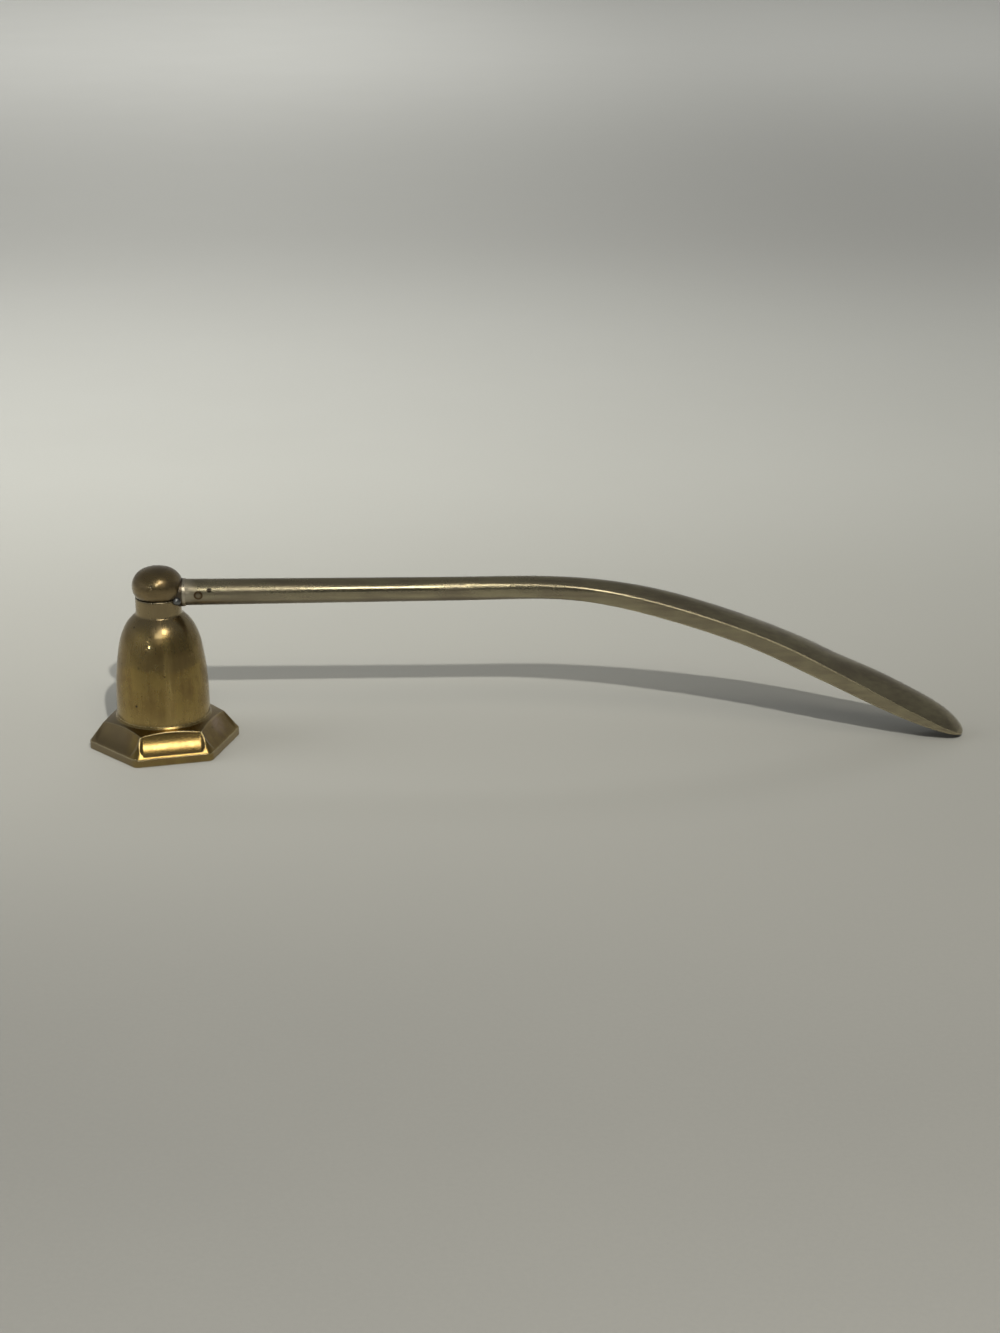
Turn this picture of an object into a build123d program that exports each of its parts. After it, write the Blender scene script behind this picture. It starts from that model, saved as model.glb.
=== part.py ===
from build123d import *
from math import atan2, cos, degrees, hypot, radians, sin, tan
import os

os.makedirs("parts", exist_ok=True)

# A candle snuffer in millimetres. The origin is the centre of the foot's underside, on the table.
# +X runs along the handle and +Z is up.

# Foot: a hexagon with rounded corners and six sloping facets, each with a shallow scoop
foot_sides = 6
foot_across_corners = 40.0
foot_turn = 13.5  # degrees from +X to the first corner
foot_corner_radius = 1.8
rim_height = 2.2
rim_chamfer = 0.15
rim_ledge = 0.08  # level step between the rim's edge and the facets
facet_shelf = 1.4  # from the bell's wall out to the top of a facet
facet_start_share = -0.2  # where a facet's slope starts, above its top edge
scoop_depth = 0.45
scoop_width = 15.0
scoop_end = 1.4  # length of a scoop's tapered ends
scoop_margin = 0.4  # level with the facet, above the rim
scoop_overlap = 0.3  # past the facet's top edge

# Skirt: the round slope between the bell's wall and the foot's corners
skirt_height = 8.13  # where its slope meets the wall
skirt_slope = 17.0  # degrees below level
skirt_chamfer = 0.4

# Bell and neck
bell_radius = 12.15
bell_wall_height = 12.25  # top of the straight wall
shoulder_height = 36.0  # where the shoulder meets the neck
neck_radius = 5.95
neck_length = 4.75
neck_chamfer = 0.4
neck_fillet = 0.8
# Joints of the shoulder's arcs: share of the rise from the wall to the neck, share of the step in
shoulder_shares = ((0.625, 0.207), (0.833, 0.459))

# Hollow of the bell
bell_thickness = 2.35
hollow_crown_thickness = 5.0
hollow_taper_height = 7.5
hollow_crown_radius = 5.0
mouth_flare = 4.2
mouth_flare_height = 6.0

# Knob: a squat ball with a stud in the neck
knob_radius = 6.62
knob_half_height = 5.07
knob_side_radius = 4.75
knob_rise = 2.62  # from its seat on the neck to its widest level
stud_radius = 2.5
stud_length = 4.0
stud_clearance = 0.04
stud_end_gap = 0.4

# Handle: a round tapered rod, then a leaf with a domed top
handle_reach = 212.0  # axis of the bell to the tip
rod_root_diameter = 6.95
rod_waist_diameter = 6.2
rod_rise = 0.75  # from the knob's seat to the rod's axis
waist_reach = 80.0
waist_rise = 0.5
rod_corner_angle = 35.0  # degrees up and down to the seams that become the leaf's edges
tip_height = 0.85
tip_slope = 23.0  # degrees below level
leaf_width = 14.3
leaf_side = 4.0
leaf_crown = 4.1
leaf_belly = 1.0
leaf_bulge = 0.56
# Axis of the leaf: share of the way from the waist to the tip, share of the height of the waist above the tip
spine_shares = ((0.182, 0.995), (0.364, 0.897), (0.682, 0.512))
# Leaf sections: share of the way along the axis, then shares of the width, side, crown, belly and bulge
leaf_shares = (
    (0.04, 0.36, 0.885, 0.322, 1.27, 0.97),
    (0.08, 0.378, 0.88, 0.322, 1.2, 0.9),
    (0.17, 0.453, 0.86, 0.35, 0.92, 0.6),
    (0.26, 0.546, 0.87, 0.445, 0.6, 0.3),
    (0.45, 0.78, 0.92, 0.54, 0.3, 0.0),
    (0.665, 1.0, 0.97, 0.62, 0.3, 0.0),
    (0.77, 0.985, 0.85, 0.86, 0.35, 0.0),
    (0.845, 0.935, 0.73, 1.0, 0.4, 0.0),
    (0.907, 0.875, 0.55, 1.0, 0.5, 0.0),
    (0.954, 0.78, 0.32, 0.86, 0.6, 0.0),
    (0.982, 0.61, 0.15, 0.6, 0.6, 0.0),
    (1.0, 0.2, 0.08, 0.2, 0.25, 0.0),
)

# Solder between the handle's end and the knob and neck
solder_film = 0.15
solder_lip = 0.12
solder_swell = 0.6
solder_length = 0.65  # past the knob's widest point
bead_radius = 1.15
bead_stand = 0.25  # its centre outside the neck
bead_drop = 0.55  # its centre below the knob's seat
bead_turn = -34.3  # degrees from +X

overrun = 5.0  # how far a cutting shape passes what it cuts
grip = Align.CENTER, Align.CENTER, Align.MIN

foot_apothem = foot_across_corners / 2 * cos(radians(180 / foot_sides))
facet_top_apothem = bell_radius + facet_shelf
facet_top_height = skirt_height - facet_shelf * tan(radians(skirt_slope))
facet_reach = foot_apothem - rim_ledge - facet_top_apothem
facet_drop = facet_top_height - rim_height
hollow_radius = bell_radius - bell_thickness
hollow_height = shoulder_height - hollow_crown_thickness
seam_height = shoulder_height + neck_length
seam_radius = neck_radius - neck_chamfer
knob_centre_height = seam_height + knob_rise
rod_root_height = seam_height + rod_rise
waist_height = rod_root_height + waist_rise


def rounded_hexagon(apothem, height):
    outline = RegularPolygon(apothem, foot_sides, major_radius=False, rotation=foot_turn)
    return Pos(0, 0, height) * fillet(outline.vertices(), foot_corner_radius)


def facet_station(share):
    return rounded_hexagon(facet_top_apothem + facet_reach * share, facet_top_height - facet_drop * share)


def hexagonal_foot():
    rim = extrude(rounded_hexagon(foot_apothem, 0), rim_height)
    levels = rim.edges().group_by(Axis.Z)
    rim = chamfer(levels[0] + levels[-1], rim_chamfer)
    return rim + loft([facet_station(1), facet_station(facet_start_share)])


def scoop_roller():
    # A roller with tapered ends that lies along the facet towards +X and cuts its hollow.
    slope = hypot(facet_reach, facet_drop)
    out, up = facet_drop / slope, facet_reach / slope
    chord = slope - scoop_margin + scoop_overlap
    radius = (chord**2 / 4 + scoop_depth**2) / (2 * scoop_depth)
    middle = chord / 2 - scoop_overlap
    lift = radius - scoop_depth
    end = scoop_width / 2 + scoop_end
    outline = Polyline(
        (0, -end),
        (lift, -end),
        (radius, -scoop_width / 2),
        (radius, scoop_width / 2),
        (lift, end),
        (0, end),
        close=True,
    )
    reach = facet_top_apothem + up * middle + out * lift
    height = facet_top_height - out * middle + up * lift
    return Pos(reach, 0, height) * Rot(90, 0, 0) * turn(make_face(outline))


def scoops():
    step = 360 / foot_sides
    return [Rot(0, 0, foot_turn + step * (side + 0.5)) * scoop_roller() for side in range(foot_sides)]


def tangent_arcs(start, heading, points):
    # Each arc leaves the one before it without a corner.
    arcs = []
    for point in points:
        arcs.append(TangentArc(start, point, tangent=heading))
        start, heading = arcs[-1] @ 1, arcs[-1] % 1
    return arcs


def shoulder_line(wall_top, neck_foot):
    rise = shoulder_height - bell_wall_height
    step = bell_radius - neck_radius
    points = [
        (bell_radius - step * step_share, bell_wall_height + rise * rise_share)
        for rise_share, step_share in shoulder_shares
    ]
    return tangent_arcs(wall_top, (0, 1), [*points, neck_foot])


def turned_outline():
    outer_reach = foot_across_corners / 2 + overrun
    outer_height = skirt_height - (outer_reach - bell_radius) * tan(radians(skirt_slope))
    bore_floor = seam_height - stud_length - stud_end_gap
    wall_top = (bell_radius, bell_wall_height)
    neck_foot = (neck_radius, shoulder_height)
    foot = Polyline(
        (0, hollow_height),
        (hollow_crown_radius, hollow_height),
        (hollow_radius, hollow_height - hollow_taper_height),
        (hollow_radius, mouth_flare_height),
        (hollow_radius + mouth_flare, 0),
        (outer_reach, 0),
        (outer_reach, outer_height),
        (bell_radius, skirt_height),
        wall_top,
    )
    neck = Polyline(
        neck_foot,
        (neck_radius, seam_height - neck_chamfer),
        (seam_radius, seam_height),
        (stud_radius, seam_height),
        (stud_radius, bore_floor),
        (0, bore_floor),
        (0, hollow_height),
    )
    face = make_face([foot, *shoulder_line(wall_top, neck_foot), neck])
    corner = face.vertices().sort_by_distance((bell_radius, skirt_height, 0))[0]
    face = chamfer(corner, skirt_chamfer)
    corner = face.vertices().sort_by_distance((*neck_foot, 0))[0]
    return fillet(corner, neck_fillet)


def turn(outline):
    return revolve(Plane.XZ * outline, Axis.Z)


def column(radius, base, top):
    return Pos(0, 0, base) * Cylinder(radius, top - base, align=grip)


def bell():
    # The turned body, with its foot milled to six sides.
    milled = hexagonal_foot() + column(facet_top_apothem, rim_height, seam_height)
    return turn(turned_outline()) & milled - scoops()


def knob_ball(growth):
    # The crown's arc runs into the side's arc without a corner.
    side_reach = knob_radius - knob_side_radius
    slack = knob_half_height - knob_side_radius
    crown_drop = (side_reach**2 - slack**2) / (2 * slack)
    lean = degrees(atan2(crown_drop, side_reach))
    centre = (0, knob_centre_height - crown_drop)
    crown = CenterArc(centre, knob_half_height + crown_drop + growth, lean, 90 - lean)
    side_centre = (side_reach, knob_centre_height)
    side = CenterArc(side_centre, knob_side_radius + growth, -90, 90)
    upper = CenterArc(side_centre, knob_side_radius + growth, 0, lean)
    base = Polyline(crown @ 1, (0, (side @ 0).Y), side @ 0)
    return turn(make_face([side, upper, crown, base]))


def post(growth):
    # What the handle's end is shaped to fit: the knob and the neck under it.
    ball = knob_ball(growth) - column(knob_radius + overrun, 0, seam_height)
    return ball + column(neck_radius + growth, shoulder_height, seam_height)


def knob():
    # The stud is rooted as deep in the ball as it stands in the neck.
    ball = knob_ball(0) - column(knob_radius + overrun, 0, seam_height)
    return ball + column(stud_radius - stud_clearance, seam_height - stud_length, seam_height + stud_length)


def spine():
    fall = radians(tip_slope)
    rod = Line((0, rod_root_height), (waist_reach, waist_height))
    points = [
        (
            waist_reach + (handle_reach - waist_reach) * reach_share,
            tip_height + (waist_height - tip_height) * height_share,
        )
        for reach_share, height_share in spine_shares
    ]
    leaf = Spline(
        rod @ 1,
        *points,
        (handle_reach, tip_height),
        tangents=[rod % 1, (cos(fall), -sin(fall))],
    )
    return Plane.XZ * rod, Plane.XZ * leaf


def section_plane(line, share):
    return Plane(origin=line @ share, x_dir=(0, 1, 0), z_dir=line % share)


def four_sided(plane, width, side, crown, belly, bulge):
    # Crown, belly and bulge are how far the top, the base and the sides swell.
    half, low, high = width / 2, -side / 2, side / 2
    top = ThreePointArc((half, high), (0, high + crown), (-half, high))
    base = ThreePointArc((-half, low), (0, low - belly), (half, low))
    if bulge:
        left = ThreePointArc((-half, high), (-half - bulge, 0), (-half, low))
        right = ThreePointArc((half, low), (half + bulge, 0), (half, high))
    else:
        left = Line((-half, high), (-half, low))
        right = Line((half, low), (half, high))
    return plane * make_face([top, left, base, right])


def round_section(plane, diameter):
    radius = diameter / 2
    width = diameter * cos(radians(rod_corner_angle))
    side = diameter * sin(radians(rod_corner_angle))
    cap = radius - side / 2
    return four_sided(plane, width, side, cap, cap, radius - width / 2)


def leaf_section(plane, width_share, side_share, crown_share, belly_share, bulge_share):
    return four_sided(
        plane,
        leaf_width * width_share,
        leaf_side * side_share,
        leaf_crown * crown_share,
        leaf_belly * belly_share,
        leaf_bulge * bulge_share,
    )


def handle():
    rod_line, leaf_line = spine()
    cone = Cone(rod_root_diameter / 2, rod_waist_diameter / 2, rod_line.length, align=grip)
    rod = section_plane(rod_line, 0) * cone
    sections = [round_section(section_plane(leaf_line, 0), rod_waist_diameter)]
    sections += [leaf_section(section_plane(leaf_line, share), *sizes) for share, *sizes in leaf_shares]
    under = Box(handle_reach, leaf_width + overrun, overrun, align=(Align.MIN, Align.CENTER, Align.MAX))
    return rod + loft(sections) - post(solder_film) - Pos(waist_reach, 0, 0) * under


def solder(knob_piece, bell_piece, handle_piece):
    root_radius = rod_root_diameter / 2
    start = stud_radius + neck_chamfer
    length = knob_radius + solder_length - start
    cone = Cone(root_radius + solder_swell, root_radius + solder_lip, length, align=grip)
    collar = Pos(start, 0, rod_root_height) * Rot(0, 90, 0) * cone
    bead_place = Rot(0, 0, bead_turn) * Pos(neck_radius + bead_stand, 0, seam_height - bead_drop)
    return collar + bead_place * Sphere(bead_radius) - knob_piece - bell_piece - handle_piece


pieces = {"bell": bell(), "knob": knob(), "handle": handle()}
pieces["solder"] = solder(pieces["knob"], pieces["bell"], pieces["handle"])
for name, piece in pieces.items():
    export_step(piece, "parts/" + name + ".step")
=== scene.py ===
import bpy
import math
from collections import namedtuple
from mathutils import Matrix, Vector


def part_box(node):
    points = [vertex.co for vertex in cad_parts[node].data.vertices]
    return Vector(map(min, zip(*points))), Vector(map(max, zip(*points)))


# Looks for the candle snuffer: aged brass on a pale table, in metres, in the frame of the solids.
# The origin is under the middle of the bell, +X runs along the handle and +Y away from the camera.
# A pair of numbers is a span: where a change begins and where it is complete.
# A share is how much of a colour is mixed in, and a film is the weight of a material's clear coat.

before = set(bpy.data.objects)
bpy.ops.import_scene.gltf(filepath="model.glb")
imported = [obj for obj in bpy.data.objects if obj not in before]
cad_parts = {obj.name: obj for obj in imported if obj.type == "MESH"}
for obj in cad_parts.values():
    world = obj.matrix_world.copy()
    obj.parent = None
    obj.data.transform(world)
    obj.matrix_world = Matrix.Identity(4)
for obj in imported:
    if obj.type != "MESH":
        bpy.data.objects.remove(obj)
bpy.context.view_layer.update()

Lamp = namedtuple("Lamp", "place target sizes watts colour mirrored")  # mirrored: metal shows the lamp
Noise = namedtuple("Noise", "scale detail roughness")
Spot = namedtuple("Spot", "centre radius core")  # core: the part of the radius that is marked in full


def rgb(red, green, blue):
    return (red, green, blue, 1.0)


# Camera, from the photograph's perspective
image_height_px = 1333
focal_px = 2400
camera_place = (0.0761, -0.5934, 0.2375)
camera_tilt = math.radians(20.10)  # below level
camera_pan = math.radians(1.23)  # to the right of +Y

# Table, with painted light: its colour in front, then the colours that take over and the span of y in which
# each does, as the light falls off
table_half_width = 5.0
table_level = -0.00002  # just under the foot
table_front = rgb(0.166, 0.166, 0.156)
table_end = rgb(0.480, 0.480, 0.450)
table_painted_falloff = [
    (rgb(0.338, 0.338, 0.314), (-0.22, 0.10)),
    (rgb(0.525, 0.530, 0.496), (0.0, 0.28)),
    (rgb(0.345, 0.345, 0.323), (0.25, 0.80)),
    (table_end, (0.80, 1.80)),
    (table_end, (-0.65, -1.15)),
]
# Painted light: the table is lighter to the left and darker to the right
table_left_tone = 1.17
table_right_tone = 0.80
table_tone_x = (-0.15, 0.35)  # from the left tone to the right
table_tone_y = (-0.16, -0.02)  # from neither tone to both
table_mottle = Noise(12.0, 6.0, 0.55)
table_fibre = Noise(900.0, 3.0, 0.55)
table_mottle_weight = 0.5
table_specks = (0.3, 0.7)
table_speck = rgb(0.30, 0.295, 0.26)
table_speck_share = 0.06
table_rough = 0.8
table_specular = 0.2

# Lamps and room
part_middle = (0.06, 0.0, 0.02)
white = (1.0, 1.0, 1.0)
floor_lamp = (2.20, 2.20)
lamps = {
    "key": Lamp((0.177, -0.650, 0.565), part_middle, (0.017, 0.017), 7.7, (1.0, 0.97, 0.90), False),
    "softbox": Lamp((0.250, -0.53, 0.70), part_middle, (0.30, 0.20), 1.40, (1.0, 0.93, 0.80), True),
    "strip": Lamp((0.03, -0.65, 0.526), part_middle, (0.20, 0.10), 0.60, (1.0, 0.97, 0.86), True),
    "window": Lamp((-0.270, -0.55, 0.20), part_middle, (0.02, 0.02), 0.07, (0.95, 0.98, 1.0), True),
    "fill": Lamp((-0.95, -0.10, 0.55), part_middle, (0.90, 0.90), 5.6, white, False),
    "back": Lamp((0.10, 0.55, 0.55), (0.10, 1.35, -0.05), (1.00, 0.60), 1.8, white, False),
    "far": Lamp((0.10, 1.95, 1.65), (0.10, 2.80, 0.0), floor_lamp, 31.0, white, False),
    "near": Lamp((0.10, -1.90, 1.65), (0.10, -2.80, 0.0), floor_lamp, 14.0, white, False),
    "left": Lamp((-2.20, 0.0, 1.65), (-3.10, 0.0, 0.0), floor_lamp, 14.0, white, False),
    "right": Lamp((2.40, 0.0, 1.65), (3.30, 0.0, 0.0), floor_lamp, 14.0, white, False),
}
room_left = rgb(0.38, 0.38, 0.37)
room_right = rgb(0.15, 0.15, 0.14)
room_back = rgb(0.30, 0.30, 0.29)
room_front = rgb(0.10, 0.10, 0.09)
room_top = rgb(0.18, 0.18, 0.17)
# The spans are along one axis of the direction that is looked in
room_right_x = (-0.9, 0.3)
room_back_y = (-0.2, 0.5)
room_front_y = (-0.65, -0.95)
room_top_z = (0.2, 0.7)

# Colours of the metal
golden = rgb(0.38, 0.275, 0.092)
brown = rgb(0.24, 0.16, 0.062)
dark_golden = rgb(0.27, 0.20, 0.095)
dark_brown = rgb(0.19, 0.14, 0.07)
# Painted shade: the dark room reflected in the upper wall
dark_room_reflection = rgb(0.20, 0.150, 0.072)
neck_brown = rgb(0.35, 0.280, 0.165)
bright_golden = rgb(0.50, 0.37, 0.145)
band_brown = rgb(0.15, 0.125, 0.08)
facet_brown = rgb(0.27, 0.220, 0.140)
# Painted shade on the handle where it faces down
underside_shade = rgb(0.14, 0.115, 0.075)
stain_brown = rgb(0.11, 0.07, 0.035)
grime = rgb(0.050, 0.040, 0.026)
pink_wear = rgb(0.46, 0.34, 0.25)
pale_brass = rgb(0.41, 0.365, 0.24)
dull_brass = rgb(0.28, 0.24, 0.17)
# Paler edges: wear, and a painted highlight along the rims, arches and the leaf's ridge
edge_wear_and_highlight = rgb(0.90, 0.80, 0.54)
tin = rgb(0.55, 0.50, 0.40)
bead_pale = rgb(0.30, 0.33, 0.36)
bead_grey = rgb(0.16, 0.17, 0.18)
solder_dark = rgb(0.11, 0.09, 0.065)

# All the metal
fine_grain = Noise(3200.0, 3.0, 0.6)
grain_dullness = 0.5  # what the grain adds to the tarnish
dullness = (0.2, 1.4)
bump_strength = 0.5
film_rough = 0.08
edge_radius = 0.0004
edge_samples = 6
edge_agreement = (0.995, 0.90)  # of a softened normal with the plain one, from a face to an edge
seam_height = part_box("bell")[1].z

# Bell: tarnish
wall_streaks = Noise(700.0, 5.0, 0.6)
streak_radius = 0.012  # at which the wall is unrolled
streak_squeeze = 0.10  # of its height, which draws the streaks out
wall_blotches = Noise(130.0, 6.0, 0.62)
streak_weight = 0.35  # in the tarnish, and the rest is blotches
wall_tarnish = (0.32, 0.68)
painted_horizon = (0.0227, 0.0243)  # the height above which the wall is darker: painted shade for the dark room reflected above the horizon line
painted_horizon_wander = 0.008
painted_horizon_share = 0.45
neck_rise = (0.030, 0.036)
neck_share = 0.7

# Bell: wear, pits and seams
foot_top = 0.0082  # below it the brass is polished brighter
foot_top_colour = (foot_top - 0.0004, foot_top)
foot_top_gloss = (foot_top - 0.0005, foot_top + 0.0005)
low_wall = (foot_top + 0.006, foot_top)  # brighter towards the foot
low_wall_share = 0.4
highlight_streak_turn = math.radians(-74)  # round the bell, where a painted highlight runs down the wall, as the key lamp's reflection does
highlight_streak_half_width = math.radians(9)
painted_streak_levels = (0.35, 0.6)
painted_streak_shares = (0.9, 0.35)
# A paler patch on the shoulder, beside its highlight
pale_shoulder_patch = Spot((-0.0036, -0.0082, 0.0322), 0.0036, 0.0)
pale_shoulder_patch_share = 0.6
facet_wear = Spot((0.0143, -0.0027, 0.0062), 0.0045, 0.0)
facet_wear_blotches = (0.38, 0.54)
facet_wear_share = 0.8
wall_pits = Noise(1100.0, 1.0, 0.4)
wall_pit_peaks = (0.75, 0.79)
wall_pit = Spot((-0.00566, -0.01071, 0.01391), 0.0004, 0.5)
wall_nick = Spot((-0.00184, -0.00997, 0.02986), 0.0008, 0.4)
wall_nick_rough = 0.07
seam_fade = (0.0008, 0.0002)  # how far from a seam its grime begins and is full
seam_share = 0.85
crease_height = foot_top + 0.0004
crease_share = 0.2
foot_band = (0.0024, 0.0020)  # the height below which the rim is darker
foot_band_x = (-0.012, 0.0)  # and more so on the left
foot_band_shares = (0.65, 0.2)
# The foot's left facets are darker
darker_left_facets_x = (-0.005, -0.010)
darker_left_facets_share = 0.6
bell_edge_share = 0.6
foot_rough = (0.16, 0.26)  # clean and tarnished
wall_rough = (0.22, 0.36)
wall_blotch_height = 2.0  # beside the grain's, which is 1
bell_bump = 0.00002
bell_film = 0.12

# Knob
knob_rings = Noise(600.0, 4.0, 0.6)
knob_ring_stretch = (0.15, 0.15, 1.0)
knob_blotches = Noise(260.0, 5.0, 0.6)
knob_ring_weight = 0.6
knob_tarnish = (0.36, 0.64)
knob_seam = (seam_height + 0.0005, seam_height + 0.0001)
knob_seam_share = 0.6
knob_rough = (0.26, 0.44)
knob_grain_height = 0.5  # beside the rings', which is 1
knob_bump = 0.00001
knob_film = 0.4

# Handle
handle_lines = Noise(900.0, 5.0, 0.6)
handle_line_stretch = (0.06, 1.0, 1.0)
handle_blotches = Noise(150.0, 6.0, 0.62)
handle_blotch_stretch = (0.5, 1.0, 1.0)
handle_grain = Noise(2600.0, 3.0, 0.6)
handle_line_weight = 0.4
handle_tarnish = (0.36, 0.64)
worn_rod = (0.060, 0.02)  # along the rod, grainy wear towards the root
worn_waist = ((0.062, 0.080), (0.112, 0.098))  # and again at the waist, from both sides
worn_waist_weight = 0.8
tinned_root = (0.0128, 0.0088)  # how far along the rod the solder has spread
tinned_wander = 0.004
tinned_share = 0.8
rod_pit = Spot((0.01358, -0.00310, 0.0430), 0.0008, 0.6)
rod_stain = Spot((0.01077, -0.00342, 0.04166), 0.0013, 0.8)
rod_stain_middle = Spot(rod_stain.centre, 0.00091, 3 / 7)  # paler than its ring
rod_stain_middle_weight = 0.6
ridge_radius = 0.00065  # along the leaf
underside = (-0.35, -0.75)  # how far the surface faces down, where it is darkened as painted shade
underside_shade_share = 0.8
handle_rough = (0.14, 0.24)
worn_rough = 0.12  # added where the rod is worn, and so on
ridge_rough = 0.36
tinned_rough = 0.28
underside_rough = 0.15
handle_grain_height = 0.35
worn_grain_height = 2.0  # added where the rod is worn
handle_bump = 0.00003
handle_film = 0.15

# Solder
solder_skin = Noise(900.0, 4.0, 0.55)
bead_skin = (0.35, 0.7)  # from pale to grey
solder_bead = Spot((0.00512, -0.00349, 0.0402), 0.00125, 0.85)
solder_tin = (0.0064, 0.0068)  # along +X, from the dark joint to the tinned lip
solder_skin_rough = (0.3, 0.7)
solder_rough = (0.25, 0.5)
solder_bump = 0.00006
solder_film = 0.0


class Graph:
    """Builds one node tree. Any input may be given a value or another node's socket."""

    def __init__(self, tree):
        self.tree = tree
        tree.nodes.clear()

    def give(self, socket, value):
        if isinstance(value, bpy.types.NodeSocket):
            self.tree.links.new(value, socket)
        else:
            socket.default_value = value

    def add(self, kind, inputs=(), **settings):
        node = self.tree.nodes.new("ShaderNode" + kind)
        for name, value in settings.items():
            setattr(node, name, value)
        for key, value in dict(inputs).items():
            self.give(node.inputs[key], value)
        return node

    def math(self, operation, a, b=0.0):
        return self.add("Math", {0: a, 1: b}, operation=operation).outputs[0]

    def plus(self, a, b):
        return self.math("ADD", a, b)

    def minus(self, a, b):
        return self.math("SUBTRACT", a, b)

    def times(self, a, b):
        return self.math("MULTIPLY", a, b)

    def most(self, a, b):
        return self.math("MAXIMUM", a, b)

    def apart(self, a, b):
        return self.math("ABSOLUTE", self.minus(a, b))

    def weigh(self, a, b, weight):
        """An average in which a has the weight and b the rest."""
        return self.plus(self.times(a, weight), self.times(b, 1.0 - weight))

    def span(self, value, ends, first=0.0, last=1.0):
        """Goes smoothly from first to last as value goes from one of the ends to the other."""
        inputs = {"Value": value, "From Min": ends[0], "From Max": ends[1], "To Min": first, "To Max": last}
        return self.add("MapRange", inputs, interpolation_type="SMOOTHSTEP").outputs[0]

    def mix(self, share, a, b):
        node = self.add("Mix", data_type="RGBA")
        for socket, value in zip((node.inputs[0], node.inputs[6], node.inputs[7]), (share, a, b)):
            self.give(socket, value)
        return node.outputs[2]

    def place(self):
        return self.add("TexCoord").outputs["Object"]

    def axes(self, vector):
        return self.add("SeparateXYZ", {"Vector": vector}).outputs

    def noise(self, vector, kind, stretch=(1.0, 1.0, 1.0)):
        mapped = self.add("Mapping", {"Vector": vector, "Scale": stretch}).outputs[0]
        inputs = {"Scale": kind.scale, "Detail": kind.detail, "Roughness": kind.roughness}
        return self.add("TexNoise", {"Vector": mapped, **inputs}).outputs["Fac"]

    def spot(self, vector, spot):
        """1 in the core of the spot, fading to 0 at its radius."""
        gap = self.add("VectorMath", {0: vector, 1: spot.centre}, operation="DISTANCE").outputs["Value"]
        return self.span(gap, (spot.radius, spot.radius * spot.core))

    def normal(self):
        return self.add("NewGeometry").outputs["Normal"]

    def soften(self, radius):
        """Normals rounded over sharp edges."""
        return self.add("Bevel", {"Radius": radius}, samples=edge_samples).outputs[0]

    def edges(self, soft):
        """1 on the edges that the softened normals round, 0 on plain faces."""
        vectors = {0: soft, 1: self.normal()}
        along = self.add("VectorMath", vectors, operation="DOT_PRODUCT").outputs["Value"]
        return self.span(along, edge_agreement)

    def gloss(self, tarnish, grain, roughness):
        """Roughness of metal, for the pair that clean and tarnished metal have."""
        return self.span(self.plus(tarnish, self.times(grain, grain_dullness)), dullness, *roughness)

    def metal(self, colour, rough, height, depth, normal, film):
        """Metal under a thin clear film, such as old lacquer or wax."""
        relief = {"Strength": bump_strength, "Distance": depth, "Height": height, "Normal": normal}
        bump = self.add("Bump", relief).outputs[0]
        inputs = {"Base Color": colour, "Roughness": rough, "Metallic": 1.0, "Normal": bump}
        coat = {"Coat Weight": film, "Coat Roughness": film_rough, "Coat Normal": normal}
        self.finish(self.add("BsdfPrincipled", {**inputs, **coat}))

    def finish(self, shader):
        self.add("OutputMaterial", {"Surface": shader.outputs[0]})


def material(name):
    made = bpy.data.materials.new(name)
    made.use_nodes = True
    return made, Graph(made.node_tree)


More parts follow.
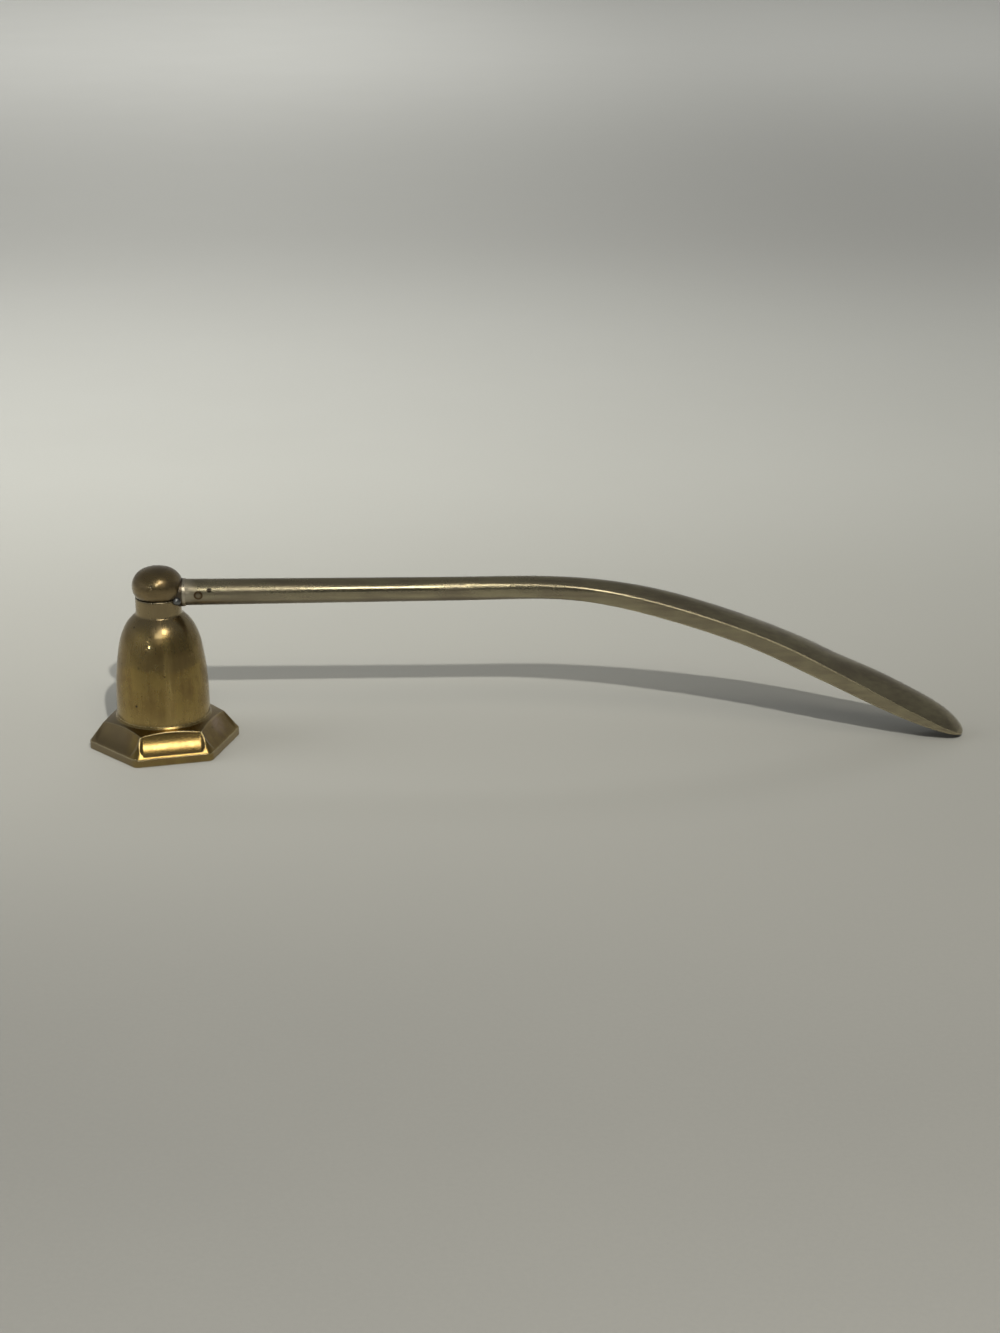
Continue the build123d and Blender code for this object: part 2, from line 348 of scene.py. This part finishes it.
def bell_brass():
    """Golden brass with brown blotches, streaks down the wall, a paler shoulder patch, pits and dark seams,
    with painted shade and highlights.
    """
    made, g = material("bell_brass")
    place = g.place()
    x, y, z = g.axes(place)
    turn = g.math("ARCTAN2", y, x)
    unrolled = {"X": g.times(turn, streak_radius), "Y": g.times(z, streak_squeeze)}
    streaks = g.noise(g.add("CombineXYZ", unrolled).outputs[0], wall_streaks)
    blotches = g.noise(place, wall_blotches)
    grain = g.noise(place, fine_grain)
    tarnish = g.span(g.weigh(streaks, blotches, streak_weight), wall_tarnish)
    colour = g.mix(tarnish, golden, brown)
    # Painted shade: the wall is darker above a wandering line, where it reflects the dark room
    level = g.plus(z, g.times(g.minus(blotches, 0.5), painted_horizon_wander))
    colour = g.mix(g.times(g.span(level, painted_horizon), painted_horizon_share), colour, dark_room_reflection)
    colour = g.mix(g.span(z, neck_rise, 0.0, neck_share), colour, neck_brown)

    above_foot = g.span(z, foot_top_colour)
    colour = g.mix(g.times(above_foot, g.span(z, low_wall, 0.0, low_wall_share)), colour, bright_golden)

    # Painted highlight: a lighter streak down the wall, where the key lamp's reflection runs
    painted_streak = g.span(streaks, painted_streak_levels, *painted_streak_shares)
    painted_streak = g.span(g.apart(turn, highlight_streak_turn), (0.0, highlight_streak_half_width), painted_streak, 0.0)
    painted_streak = g.times(painted_streak, g.times(above_foot, g.span(z, neck_rise, 1.0, 0.0)))
    # The shoulder is paler in a patch beside its highlight
    shoulder = g.times(g.spot(place, pale_shoulder_patch), pale_shoulder_patch_share)
    colour = g.mix(g.most(painted_streak, shoulder), colour, bright_golden)
    wear = g.times(g.spot(place, facet_wear), g.span(blotches, facet_wear_blotches))
    colour = g.mix(g.times(wear, facet_wear_share), colour, pink_wear)
    pits = g.span(g.noise(place, wall_pits), wall_pit_peaks)
    colour = g.mix(g.most(pits, g.spot(place, wall_pit)), colour, grime)
    seam = g.span(g.apart(z, seam_height), seam_fade, 0.0, seam_share)
    crease = g.span(g.apart(z, crease_height), seam_fade, 0.0, crease_share)
    colour = g.mix(g.most(seam, crease), colour, grime)
    band_share = g.span(x, foot_band_x, *foot_band_shares)
    colour = g.mix(g.span(z, foot_band, 0.0, band_share), colour, band_brown)
    # Darker on the foot's left facets
    darker_left_facets = g.span(x, darker_left_facets_x, 0.0, darker_left_facets_share)
    colour = g.mix(g.times(darker_left_facets, g.minus(1.0, above_foot)), colour, facet_brown)
    soft = g.soften(edge_radius)
    # Wear and painted highlight: the rounded edges are paler
    colour = g.mix(g.times(g.edges(soft), bell_edge_share), colour, edge_wear_and_highlight)

    on_foot, on_wall = (g.gloss(tarnish, grain, pair) for pair in (foot_rough, wall_rough))
    rough = g.mix(g.span(z, foot_top_gloss), on_foot, on_wall)
    rough = g.span(g.spot(place, wall_nick), (0.0, 1.0), rough, wall_nick_rough)
    height = g.plus(grain, g.times(blotches, wall_blotch_height))
    g.metal(colour, rough, height, bell_bump, soft, bell_film)
    return made


def knob_brass():
    """Brown brass, worn in faint rings round the ball."""
    made, g = material("knob_brass")
    place = g.place()
    rings = g.noise(place, knob_rings, knob_ring_stretch)
    blotches = g.noise(place, knob_blotches)
    grain = g.noise(place, fine_grain)
    tarnish = g.span(g.weigh(rings, blotches, knob_ring_weight), knob_tarnish)
    colour = g.mix(tarnish, dark_golden, dark_brown)
    colour = g.mix(g.span(g.axes(place)["Z"], knob_seam, 0.0, knob_seam_share), colour, grime)
    rough = g.gloss(tarnish, grain, knob_rough)
    height = g.plus(g.times(grain, knob_grain_height), rings)
    g.metal(colour, rough, height, knob_bump, g.soften(edge_radius), knob_film)
    return made


def handle_brass():
    """Paler, duller brass: tinned at its root, grainy where it is worn, smooth along the leaf, with painted
    shade where it faces down and paler edges, partly painted highlight.
    """
    made, g = material("handle_brass")
    place = g.place()
    x = g.axes(place)["X"]
    lines = g.noise(place, handle_lines, handle_line_stretch)
    blotches = g.noise(place, handle_blotches, handle_blotch_stretch)
    grain = g.noise(place, handle_grain)
    tarnish = g.span(g.weigh(lines, blotches, handle_line_weight), handle_tarnish)
    colour = g.mix(tarnish, pale_brass, dull_brass)
    waist = g.times(*(g.span(x, ends) for ends in worn_waist))
    worn = g.most(g.span(x, worn_rod), g.times(waist, worn_waist_weight))
    tinned = g.span(g.plus(x, g.times(blotches, tinned_wander)), tinned_root)
    colour = g.mix(g.times(tinned, tinned_share), colour, tin)
    colour = g.mix(g.spot(place, rod_pit), colour, grime)
    middle = g.times(g.spot(place, rod_stain_middle), rod_stain_middle_weight)
    colour = g.mix(g.minus(g.spot(place, rod_stain), middle), colour, stain_brown)

    soft = g.soften(ridge_radius)
    ridges = g.edges(soft)
    under = g.span(g.axes(soft)["Z"], underside)
    # Painted shade: darker where the surface faces down
    colour = g.mix(g.times(under, underside_shade_share), colour, underside_shade)
    # Wear and painted highlight: the leaf's ridge and other edges are paler, except where they face down
    colour = g.mix(g.minus(ridges, under), colour, edge_wear_and_highlight)
    rough = g.gloss(tarnish, grain, handle_rough)
    masks = (worn, ridges, tinned, under)
    for mask, added in zip(masks, (worn_rough, ridge_rough, tinned_rough, underside_rough)):
        rough = g.plus(rough, g.times(mask, added))
    height = g.times(grain, g.plus(handle_grain_height, g.times(worn, worn_grain_height)))
    g.metal(colour, rough, height, handle_bump, soft, handle_film)
    return made


def tinned_solder():
    """Grey solder with a dull skin and grime where it meets the brass."""
    made, g = material("tinned_solder")
    place = g.place()
    skin = g.noise(place, solder_skin)
    grey = g.mix(g.span(skin, bead_skin), bead_pale, bead_grey)
    colour = g.mix(g.span(g.axes(place)["X"], solder_tin), solder_dark, tin)
    colour = g.mix(g.spot(place, solder_bead), colour, grey)
    rough = g.span(skin, solder_skin_rough, *solder_rough)
    g.metal(colour, rough, skin, solder_bump, g.normal(), solder_film)
    return made


def table_paper():
    """The pale, faintly mottled surface that the part stands on, with painted light: lighter towards the
    back and the left.
    """
    made, g = material("table_paper")
    place = g.place()
    axes = g.axes(place)
    colour = table_front
    # Painted light: the colour ramps with distance and side, as the light falls off
    for tone, ends in table_painted_falloff:
        colour = g.mix(g.span(axes["Y"], ends), colour, tone)
    across = g.span(axes["X"], table_tone_x, table_left_tone, table_right_tone)
    across = g.span(axes["Y"], table_tone_y, 1.0, across)
    colour = g.add("VectorMath", {0: colour, "Scale": across}, operation="SCALE").outputs[0]
    specks = g.weigh(g.noise(place, table_mottle), g.noise(place, table_fibre), table_mottle_weight)
    colour = g.mix(g.span(specks, table_specks, 0.0, table_speck_share), colour, table_speck)
    inputs = {"Base Color": colour, "Roughness": table_rough, "Specular IOR Level": table_specular}
    g.finish(g.add("BsdfPrincipled", inputs))
    return made


def table():
    mesh = bpy.data.meshes.new("table")
    half = table_half_width
    corners = [(x, y, table_level) for x, y in ((-half, -half), (half, -half), (half, half), (-half, half))]
    mesh.from_pydata(corners, [], [(0, 1, 2, 3)])
    mesh.materials.append(table_paper())
    top = bpy.data.objects.new("table", mesh)
    bpy.context.scene.collection.objects.link(top)


def light_room():
    for name, plan in lamps.items():
        lamp = bpy.data.lights.new(name, "AREA")
        lamp.shape = "ELLIPSE"
        lamp.size, lamp.size_y = plan.sizes
        lamp.energy = plan.watts
        lamp.color = plan.colour
        thing = bpy.data.objects.new(name, lamp)
        thing.location = plan.place
        away = Vector(plan.place) - Vector(plan.target)
        thing.rotation_euler = away.to_track_quat("Z", "Y").to_euler()
        thing.visible_camera = False
        thing.visible_glossy = plan.mirrored
        bpy.context.scene.collection.objects.link(thing)
    world = bpy.data.worlds.new("room")
    world.use_nodes = True
    bpy.context.scene.world = world
    g = Graph(world.node_tree)
    x, y, z = g.axes(g.add("TexCoord").outputs["Generated"])
    colour = g.mix(g.span(x, room_right_x), room_left, room_right)
    colour = g.mix(g.span(y, room_back_y), colour, room_back)
    colour = g.mix(g.span(y, room_front_y), colour, room_front)
    colour = g.mix(g.span(z, room_top_z), colour, room_top)
    g.add("OutputWorld", {"Surface": g.add("Background", {"Color": colour}).outputs[0]})


def set_camera():
    data = bpy.data.cameras.new("camera")
    data.lens = data.sensor_width * focal_px / image_height_px
    camera = bpy.data.objects.new("camera", data)
    camera.location = camera_place
    camera.rotation_euler = (math.radians(90) - camera_tilt, 0.0, -camera_pan)
    bpy.context.scene.collection.objects.link(camera)
    bpy.context.scene.camera = camera


def dress(node, made):
    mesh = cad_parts[node].data
    mesh.materials.clear()
    mesh.materials.append(made)


dress("bell", bell_brass())
dress("knob", knob_brass())
dress("handle", handle_brass())
dress("solder", tinned_solder())
table()
light_room()
set_camera()
bpy.context.scene.view_settings.view_transform = "Standard"
